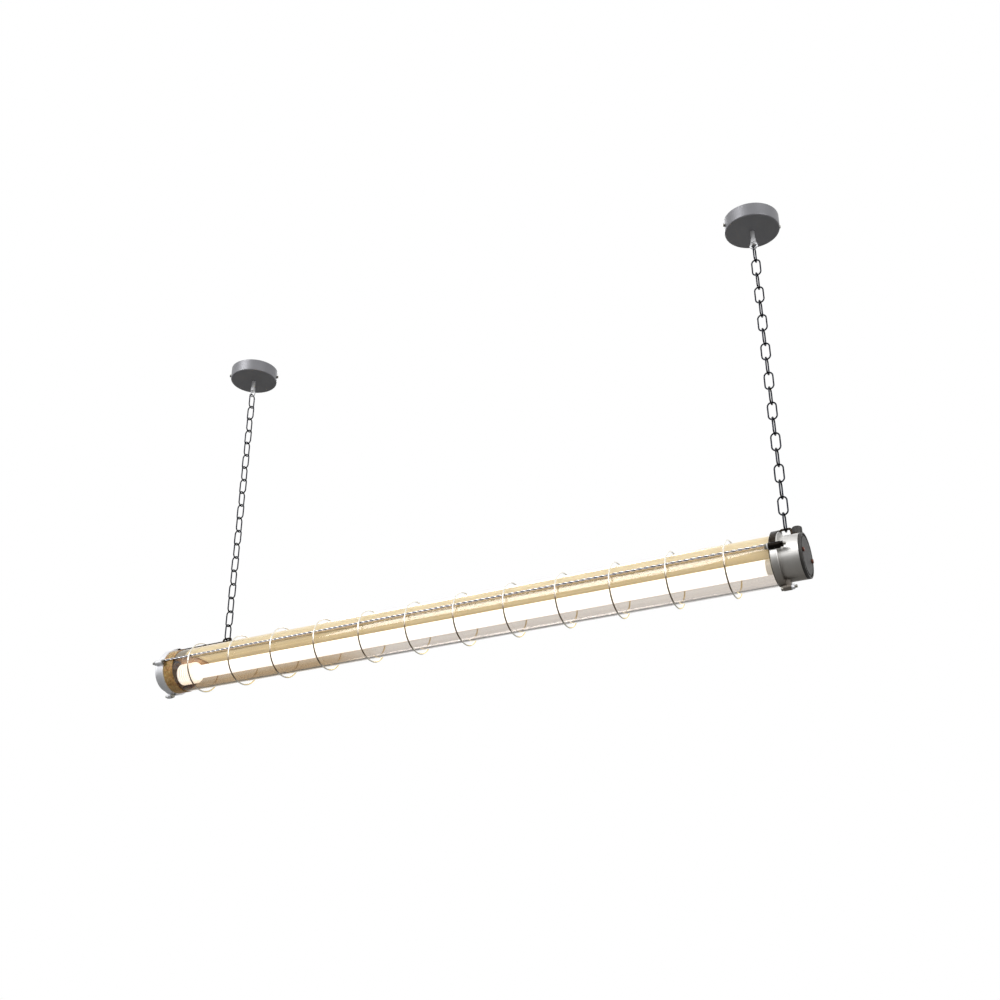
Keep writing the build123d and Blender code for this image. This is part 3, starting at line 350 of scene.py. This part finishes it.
# Painted light below the axis: warm yellow at the back, painted shade at the front
for side_pair, code in ((RINGS_BACK_PAINTED_LIGHT, "#F3E0AC"), (RINGS_FRONT_PAINTED_SHADE, "#8C7B66")):
    to_side = fade(wire_tree, place_parts(wire_tree)["Y"], side_pair)
    low_side = calc(wire_tree, "MULTIPLY", underside_share(wire_tree, RINGS_LOW), to_side)
    tint_where(guard_wire, low_side, code)
# Stainless wire laid into a rope: bright crowns with painted shade in the grooves between the strands
rope_wire = worn("stainless_wire_rope", "#F2F2F4", "#DADBE0", (0.12, 0.25), metallic=1.0,
                 grain_mm=0.4, stretch=(4, 1, 1), bump_mm=0.02, patch_mm=3.0)
tint_where(rope_wire, groove_painted_shade(rope_wire.node_tree), "#8A8C96")


# Finishes of the gear tray

# Moulded white plastic of the terminal block: satin, faintly mottled
white_plastic = worn("moulded_white_plastic", "#F1EFEA", "#E4E1DA", (0.38, 0.5),
                     grain_mm=0.8, bump_mm=0.015)
# The same plastic beside the lit tube, with painted light: an emission for the tube's light on it
plastic_painted_lit = worn("white_plastic_painted_lit", "#F4F1EA", "#E8E3D8", (0.38, 0.5),
                       grain_mm=0.8, bump_mm=0.015, **painted_glow("#FFF6E4", 0.42))
# The same at the far end, paler and with stronger painted light for the light of the tube's end
plastic_painted_brightly_lit = worn("white_plastic_painted_brightly_lit", "#F8F5EE", "#EEE8DC", (0.38, 0.5),
                      grain_mm=1.4, bump_mm=0.03, **painted_glow("#FFFAF0", 0.95))
# Cast resin behind the far collar: amber brown, mottled like the silicone round it
amber_block = worn("amber_brown_resin", "#C2924E", "#7E5828", (0.35, 0.5),
                   grain_mm=3.0, bump_mm=0.1, patch_mm=8.0)
# Moulded brown-black plastic of the near block: satin with a faint sheen
brown_block = worn("dark_brown_block", "#4A4039", "#302822", (0.38, 0.5), metallic=0.3,
                   grain_mm=1.0, bump_mm=0.03)
# Moulded pale grey plastic of the lamp driver's case: slightly matt
case_plastic = worn("driver_case_plastic", "#E9E9E6", "#DCDCD8", (0.42, 0.55),
                    grain_mm=0.7, bump_mm=0.02)
# Extruded soft plastic round the wires: smooth and cream
wire_jacket = worn("pvc_wire_jacket", "#D8D4C8", "#C8C3B5", (0.4, 0.5), grain_mm=1.0, bump_mm=0.01)
# Turned brass of the tube's pins: yellow, bright
pin_brass = worn("turned_brass", "#C5A25A", "#A8873F", (0.22, 0.35), metallic=1.0,
                 grain_mm=0.5, bump_mm=0.01)

# Gold-lacquered aluminium sheet, rolled: long faint streaks along the tray, with a faint painted light
# of the tube
SHEET_ROLLED = {"metallic": 0.05, "grain_mm": 1.6, "stretch": (60, 1, 1), "bump_mm": 0.02,
                "patch_mm": 7.0, "patch_share": 0.45}
gold_sheet = worn("gold_lacquered_aluminium", "#E3D4AA", "#C8B68A", (0.6, 0.72),
                  **SHEET_ROLLED, **painted_glow("#F0DAB0", 0.08))
# The same sheet on the tray's outside, paler and with stronger painted light, which stands for the
# tube's light the glass carries onto it
painted_lit_gold_sheet = worn("gold_lacquered_aluminium_painted_lit", "#EBDDB8", "#D8C69C", (0.6, 0.72),
                      **SHEET_ROLLED, **painted_glow("#FBE9C4", 0.35))
# Gold film laid on the glass: paler than the sheet, with fine drawn streaks, painted light of the tube,
# and painted shade at its far end
gold_film = worn("champagne_gold_film", "#F9ECC8", "#EBDAAC", (0.36, 0.48), metallic=0.2,
                 grain_mm=1.2, stretch=(80, 1, 1), bump_mm=0.01, patch_mm=5.0, **painted_glow("#FFECC2", 0.22))
film_tree = gold_film.node_tree
# Painted shade at the film's far end, past the lit length of the tube
tint_where(gold_film, fade(film_tree, place_parts(film_tree)["X"], FILM_PAINTED_SHADE), "#3B342C")


def make_clear_glass():
    """Drawn borosilicate tube: clear, a trace of grey-pink, faint draw lines, browned at the far end."""
    made, tree, shader = new_finish("drawn_borosilicate_glass", Roughness=0.0, IOR=1.47,
                                    Transmission_Weight=1.0)
    lines = grain(tree, size_mm=9.0, stretch=(40, 1, 1), detail=PLAIN_DETAIL)
    colour = blend_colours(tree, spread(tree, lines, 0.0, 1.0), linear("#EFEBE7"), linear("#E9E4E0"))
    tree.links.new(colour, shader.inputs["Base Color"])
    parts = place_parts(tree)
    far = fade(tree, parts["X"], GLASS_BROWNED_ALONG)
    back = fade(tree, parts["Y"], GLASS_BROWNED_ACROSS)
    tint_where(made, calc(tree, "MULTIPLY", far, back), "#D8C9B3")
    raise_grain(tree, shader, lines, strength=0.25, depth_mm=0.05)
    return made


def make_lit_diffuser():
    """Opal tube wall, lit from inside: white, mottled a little warmer."""
    made, tree, shader = new_finish("lit_opal_tube", Roughness=0.35, Emission_Strength=1.35,
                                    Base_Color=linear("#FFFFFF"))
    share = spread(tree, grain(tree, size_mm=30.0, stretch=(1, 1, 1), detail=PLAIN_DETAIL), 0.0, 1.0)
    colour = blend_colours(tree, share, linear("#FFFFFF"), linear("#FFFBF2"))
    tree.links.new(colour, shader.inputs["Emission Color"])
    return made


clear_glass = make_clear_glass()
lit_diffuser = make_lit_diffuser()


# Each node's finish. A name without left or right is for both ends, unless an end has its own

NODE_FINISHES = {
    "canopy": canopy_coat, "ceiling_strap": zinc, "canopy_screws": plain_steel,
    "stem": satin_nickel, "stem_nuts": zinc, "chain_eye": satin_nickel,
    "top_link": black_steel, "chain_links": black_steel,
    "glass_tube": clear_glass, "reflector_film": gold_film, "guard_rings": guard_wire,
    "guard_rail_back": rope_wire, "guard_rail_front": rope_wire,
    "clamp_bolts": plain_steel, "clamp_nuts": chrome, "right_clamp_nuts": nuts_shaded_above,
    "right_clamp_ring": clamp_ring, "right_end_body": clamp_ring,
    "right_lip_seal": black_rubber, "right_face_seal": black_rubber,
    "left_end_cap": highlit_aluminium, "left_sleeve_seal": amber_silicone,
    "left_tray_pin": plain_steel, "left_hanger_arm": bronzed_steel, "left_hanger_screw": plain_steel,
    "right_hanger": bronzed_steel, "right_hanger_screws": plain_steel,
    "gland_body": dark_casting, "gland_nut": dark_casting, "gland_seal": black_rubber,
    "lid": dark_casting, "lid_seal": black_rubber, "lid_screws": copper_screw, "lid_struts": zinc,
    "tray_cover": painted_lit_gold_sheet, "reflector": gold_sheet, "holder_bracket": zinc,
    "tray_block": brown_block, "left_tray_block": amber_block,
    "lampholder": plastic_painted_lit, "left_lampholder": plastic_painted_brightly_lit,
    "left_holder_collar": plastic_painted_brightly_lit, "tube_cap": plastic_painted_lit, "left_tube_cap": plastic_painted_brightly_lit,
    "led_driver": case_plastic, "driver_screws": plain_steel, "terminal_block": white_plastic,
    "tray_wires": wire_jacket, "tube_pins": pin_brass, "light_tube": lit_diffuser,
}

for name, node in nodes.items():
    side, _, plain = name.partition("_")
    finish = NODE_FINISHES.get(name) or NODE_FINISHES[plain if side in ("left", "right") else name]
    node.data.materials.clear()
    node.data.materials.append(finish)


# Meshes made here

def mesh_object(name, mesh, finish, body, slot, *replaced):
    """A finished piece, riding on its body and standing for the nodes named."""
    piece = bpy.data.objects.new(name, mesh)
    bpy.context.collection.objects.link(piece)
    if not mesh.materials:
        mesh.materials.append(finish)
    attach(piece, body)
    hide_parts(*replaced)


def lathe(profile, segments, height):
    """A closed outline of (x, radius) turned round the lamp's length at that height."""
    work = bmesh.new()
    rings = []
    for k in range(segments):
        angle = 2 * math.pi * k / segments
        away, up = math.cos(angle), math.sin(angle)
        rings.append([work.verts.new((x, r * away, height + r * up)) for x, r in profile])
    for k in range(segments):
        here, there = rings[k], rings[(k + 1) % segments]
        for i in range(len(profile)):
            j = (i + 1) % len(profile)
            work.faces.new((here[i], here[j], there[j], there[i]))
    bmesh.ops.recalc_face_normals(work, faces=work.faces)
    for face in work.faces:
        face.smooth = True
    made = bpy.data.meshes.new("turned")
    work.to_mesh(made)
    work.free()
    return made


def sharpen(mesh, degrees):
    """Mark the edges that stay crisp under smooth shading."""
    mesh.set_sharp_from_angle(angle=math.radians(degrees))


def make_glass():
    """The glass tube with fire-polished rims."""
    outer, inner = GLASS_RADIUS, GLASS_RADIUS - GLASS_WALL
    mesh = lathe([
        (GLASS_LEFT, inner + GLASS_RIM), (GLASS_LEFT, outer - GLASS_RIM),
        (GLASS_LEFT + GLASS_RIM, outer), (GLASS_RIGHT - GLASS_RIM, outer),
        (GLASS_RIGHT, outer - GLASS_RIM), (GLASS_RIGHT, inner + GLASS_RIM),
        (GLASS_RIGHT - GLASS_RIM, inner), (GLASS_LEFT + GLASS_RIM, inner),
    ], GLASS_SEGMENTS, LAMP_Z)
    sharpen(mesh, GLASS_CREASE)
    mesh_object("glass_sleeve", mesh, clear_glass, "lamp", "clear_glass", "glass_tube")


make_glass()


# Wire ropes of the guard: two strands laid round each other, by Geometry Nodes

ROPE_INPUTS = {
    "Length": "NodeSocketFloat", "Turns": "NodeSocketFloat", "Winding Radius": "NodeSocketFloat",
    "Strand Radius": "NodeSocketFloat", "Strands": "NodeSocketInt", "Finish": "NodeSocketMaterial",
}


def rope_tree():
    """The ropes' node tree: a straight line wound into a helix, and turned once for each strand."""
    tree = bpy.data.node_groups.new("wire_rope", "GeometryNodeTree")
    for name, kind in ROPE_INPUTS.items():
        tree.interface.new_socket(name, in_out="INPUT", socket_type=kind)
    tree.interface.new_socket("Geometry", in_out="OUTPUT", socket_type="NodeSocketGeometry")
    given = add(tree, "NodeGroupInput").outputs
    end = add(tree, "ShaderNodeCombineXYZ", {"X": given["Length"]})
    line = add(tree, "GeometryNodeCurvePrimitiveLine", {"End": end.outputs["Vector"]})
    count = calc(tree, "MULTIPLY", given["Turns"], STRAND_STEPS)
    fine = add(tree, "GeometryNodeResampleCurve", {"Curve": line.outputs["Curve"], "Count": count})
    share = add(tree, "GeometryNodeSplineParameter").outputs["Factor"]
    angle = calc(tree, "MULTIPLY", calc(tree, "MULTIPLY", share, given["Turns"]), 2 * math.pi)
    away, up = (calc(tree, "MULTIPLY", calc(tree, wave, angle), given["Winding Radius"])
                for wave in ("COSINE", "SINE"))
    shift = add(tree, "ShaderNodeCombineXYZ", {"Y": away, "Z": up})
    wound = add(tree, "GeometryNodeSetPosition", {
        "Geometry": fine.outputs["Curve"], "Offset": shift.outputs["Vector"]})
    section = add(tree, "GeometryNodeCurvePrimitiveCircle", {
        "Resolution": STRAND_SIDES, "Radius": given["Strand Radius"]})
    strand = add(tree, "GeometryNodeCurveToMesh", {
        "Curve": wound.outputs["Geometry"], "Profile Curve": section.outputs["Curve"],
        "Fill Caps": True})
    places = add(tree, "GeometryNodeMeshLine", {"Count": given["Strands"], "Offset": (0.0, 0.0, 0.0)})
    index = add(tree, "GeometryNodeInputIndex").outputs["Index"]
    roll = calc(tree, "MULTIPLY", calc(tree, "DIVIDE", index, given["Strands"]), 2 * math.pi)
    turn = add(tree, "ShaderNodeCombineXYZ", {"X": roll})
    copies = add(tree, "GeometryNodeInstanceOnPoints", {
        "Points": places.outputs["Mesh"], "Instance": strand.outputs["Mesh"],
        "Rotation": turn.outputs["Vector"]})
    solid = add(tree, "GeometryNodeRealizeInstances", {"Geometry": copies.outputs["Instances"]})
    smooth = add(tree, "GeometryNodeSetShadeSmooth", {"Geometry": solid.outputs["Geometry"]})
    coloured = add(tree, "GeometryNodeSetMaterial", {
        "Geometry": smooth.outputs["Geometry"], "Material": given["Finish"]})
    add(tree, "NodeGroupOutput", {"Geometry": coloured.outputs["Geometry"]})
    return tree


def run_tree(tree, values):
    """The plain mesh that a node tree makes from the named values."""
    holder = bpy.data.objects.new("maker", bpy.data.meshes.new("maker"))
    bpy.context.collection.objects.link(holder)
    modifier = holder.modifiers.new("maker", "NODES")
    modifier.node_group = tree
    for item in tree.interface.items_tree:
        if item.in_out == "INPUT":
            modifier[item.identifier] = values[item.name]
    graph = bpy.context.evaluated_depsgraph_get()
    mesh = bpy.data.meshes.new_from_object(holder.evaluated_get(graph), depsgraph=graph)
    bpy.data.objects.remove(holder)
    return mesh


def polar(radius, degrees):
    """A place across the lamp, as (y, rise above the axis)."""
    return Vector((radius * math.cos(math.radians(degrees)), radius * math.sin(math.radians(degrees))))


def eye_outline(degrees, lug_degrees):
    """The outline round the rope's end and the bolt, measured from the bolt, and the bolt's place."""
    rope, bolt = polar(ROPE_RADIUS, degrees), polar(EYE_CIRCLE, lug_degrees)
    flat = bmesh.new()
    for centre, reach in ((rope, 2 * ROPE_STRAND), (bolt, EYE_RADIUS)):
        for k in range(EYE_POINTS):
            turn = 2 * math.pi * k / EYE_POINTS
            point = centre + reach * Vector((math.cos(turn), math.sin(turn)))
            flat.verts.new((point.x, point.y, 0))
    hull = bmesh.ops.convex_hull(flat, input=flat.verts)["geom"]
    rim = [Vector((v.co.x, v.co.y)) - bolt for v in hull if isinstance(v, bmesh.types.BMVert)]
    flat.free()
    return sorted(rim, key=lambda p: math.atan2(p.y, p.x)), bolt


def add_eye(work, x, degrees, lug_degrees):
    """A flat pressed eye: the outline cut from sheet, with the bolt hole through it."""
    outer, centre = eye_outline(degrees, lug_degrees)
    ways = [p.normalized() for p in outer]
    height = LAMP_Z + centre.y
    loops = []
    for side in (0.0, EYE_SHEET):
        for reach, points in ((1.0, outer), (EYE_BORE, ways)):
            loops.append([work.verts.new((x + side, centre.x + reach * p.x, height + reach * p.y))
                          for p in points])
    near_edge, near_hole, far_edge, far_hole = loops
    for k in range(len(outer)):
        n = (k + 1) % len(outer)
        work.faces.new((near_edge[k], near_edge[n], near_hole[n], near_hole[k]))
        work.faces.new((far_edge[k], far_hole[k], far_hole[n], far_edge[n]))
        work.faces.new((near_edge[k], far_edge[k], far_edge[n], near_edge[n]))
        work.faces.new((near_hole[k], near_hole[n], far_hole[n], far_hole[k]))


def make_ropes():
    """Both ropes of the guard with their eyes."""
    tree = rope_tree()
    length = ROPE_RIGHT - ROPE_LEFT - 2 * EYE_SHEET
    for side, (degrees, lug_degrees) in ROPES.items():
        mesh = run_tree(tree, {
            "Length": length, "Turns": length / ROPE_LAY, "Winding Radius": ROPE_STRAND,
            "Strand Radius": ROPE_STRAND * STRAND_FILL, "Strands": ROPE_STRANDS, "Finish": rope_wire})
        centre_y = ROPE_RADIUS * math.cos(math.radians(degrees))
        centre_z = LAMP_Z + ROPE_RADIUS * math.sin(math.radians(degrees))
        mesh.transform(Matrix.Translation((ROPE_LEFT + EYE_SHEET, centre_y, centre_z)))
        work = bmesh.new()
        work.from_mesh(mesh)
        for x in (ROPE_LEFT, ROPE_RIGHT - EYE_SHEET):
            add_eye(work, x, degrees, lug_degrees)
        bmesh.ops.recalc_face_normals(work, faces=work.faces)
        work.to_mesh(mesh)
        work.free()
        sharpen(mesh, ROPE_CREASE)
        mesh_object(f"guard_rope_{side}", mesh, rope_wire, "lamp", "guard_steel", f"guard_rail_{side}")


make_ropes()


# Floor, world and lamps

FLOOR_Z, FLOOR_REACH = -3.0, 40.0
WHITE = (1, 1, 1, 1)
# The world's light from straight below and from straight above
WORLD_LIGHT = 0.1, 0.34
LAMP_SPREAD = 70

# Each softbox: its place, what it faces, its side and its power
SOFTBOXES = {
    "key_softbox": ((-1.2, -2.6, 1.2), (0, 0, -0.5), 1.8, 10),
    "side_softbox": ((2.6, -1.4, 0.2), (0.3, 0, -0.5), 1.2, 4),
    "back_softbox": ((-1.5, 2.3, 2.0), (0, 0, -0.5), 1.6, 6),
}


def make_stage():
    """A plain pale floor at a room's depth under the ceiling."""
    mesh = bpy.data.meshes.new("floor")
    square = (-1, -1), (1, -1), (1, 1), (-1, 1)
    corners = [(x * FLOOR_REACH, y * FLOOR_REACH, FLOOR_Z) for x, y in square]
    mesh.from_pydata(corners, [], [(0, 1, 2, 3)])
    mesh.materials.append(new_finish("pale_floor", Roughness=0.8, Base_Color=linear("#DADAD8"))[0])
    floor = bpy.data.objects.new("floor", mesh)
    bpy.context.collection.objects.link(floor)


def make_world():
    """White where it is seen, mirrored or looked at through glass, and a softer light from above."""
    world = bpy.data.worlds.new("studio")
    bpy.context.scene.world = world
    world.use_nodes = True
    tree = world.node_tree
    tree.nodes.clear()
    path = add(tree, "ShaderNodeLightPath").outputs
    seen = calc(tree, "MAXIMUM", path["Is Camera Ray"], path["Is Glossy Ray"])
    seen = calc(tree, "MAXIMUM", seen, path["Is Transmission Ray"])
    place = add(tree, "ShaderNodeTexCoord")
    height = add(tree, "ShaderNodeSeparateXYZ", {"Vector": place.outputs["Generated"]}).outputs["Z"]
    level = spread(tree, height, *WORLD_LIGHT, source=(-1.0, 1.0))
    soft = add(tree, "ShaderNodeBackground", {"Color": WHITE, "Strength": level})
    white = add(tree, "ShaderNodeBackground", {"Color": WHITE, "Strength": 1.0})
    both = add(tree, "ShaderNodeMixShader", {
        0: seen, 1: soft.outputs["Background"], 2: white.outputs["Background"]})
    add(tree, "ShaderNodeOutputWorld", {"Surface": both.outputs["Shader"]})


def make_lamp(name, place, target, size, power):
    """A square softbox with a grid, which faces its target and spills little on the floor."""
    data = bpy.data.lights.new(name, "AREA")
    data.shape = "SQUARE"
    data.size = size
    data.energy = power
    data.spread = math.radians(LAMP_SPREAD)
    lamp = bpy.data.objects.new(name, data)
    lamp.location = place
    lamp.rotation_euler = (Vector(target) - Vector(place)).to_track_quat("-Z", "Y").to_euler()
    bpy.context.collection.objects.link(lamp)


bpy.context.scene.view_settings.view_transform = "Standard"
make_stage()
make_world()
for name, settings in SOFTBOXES.items():
    make_lamp(name, *settings)
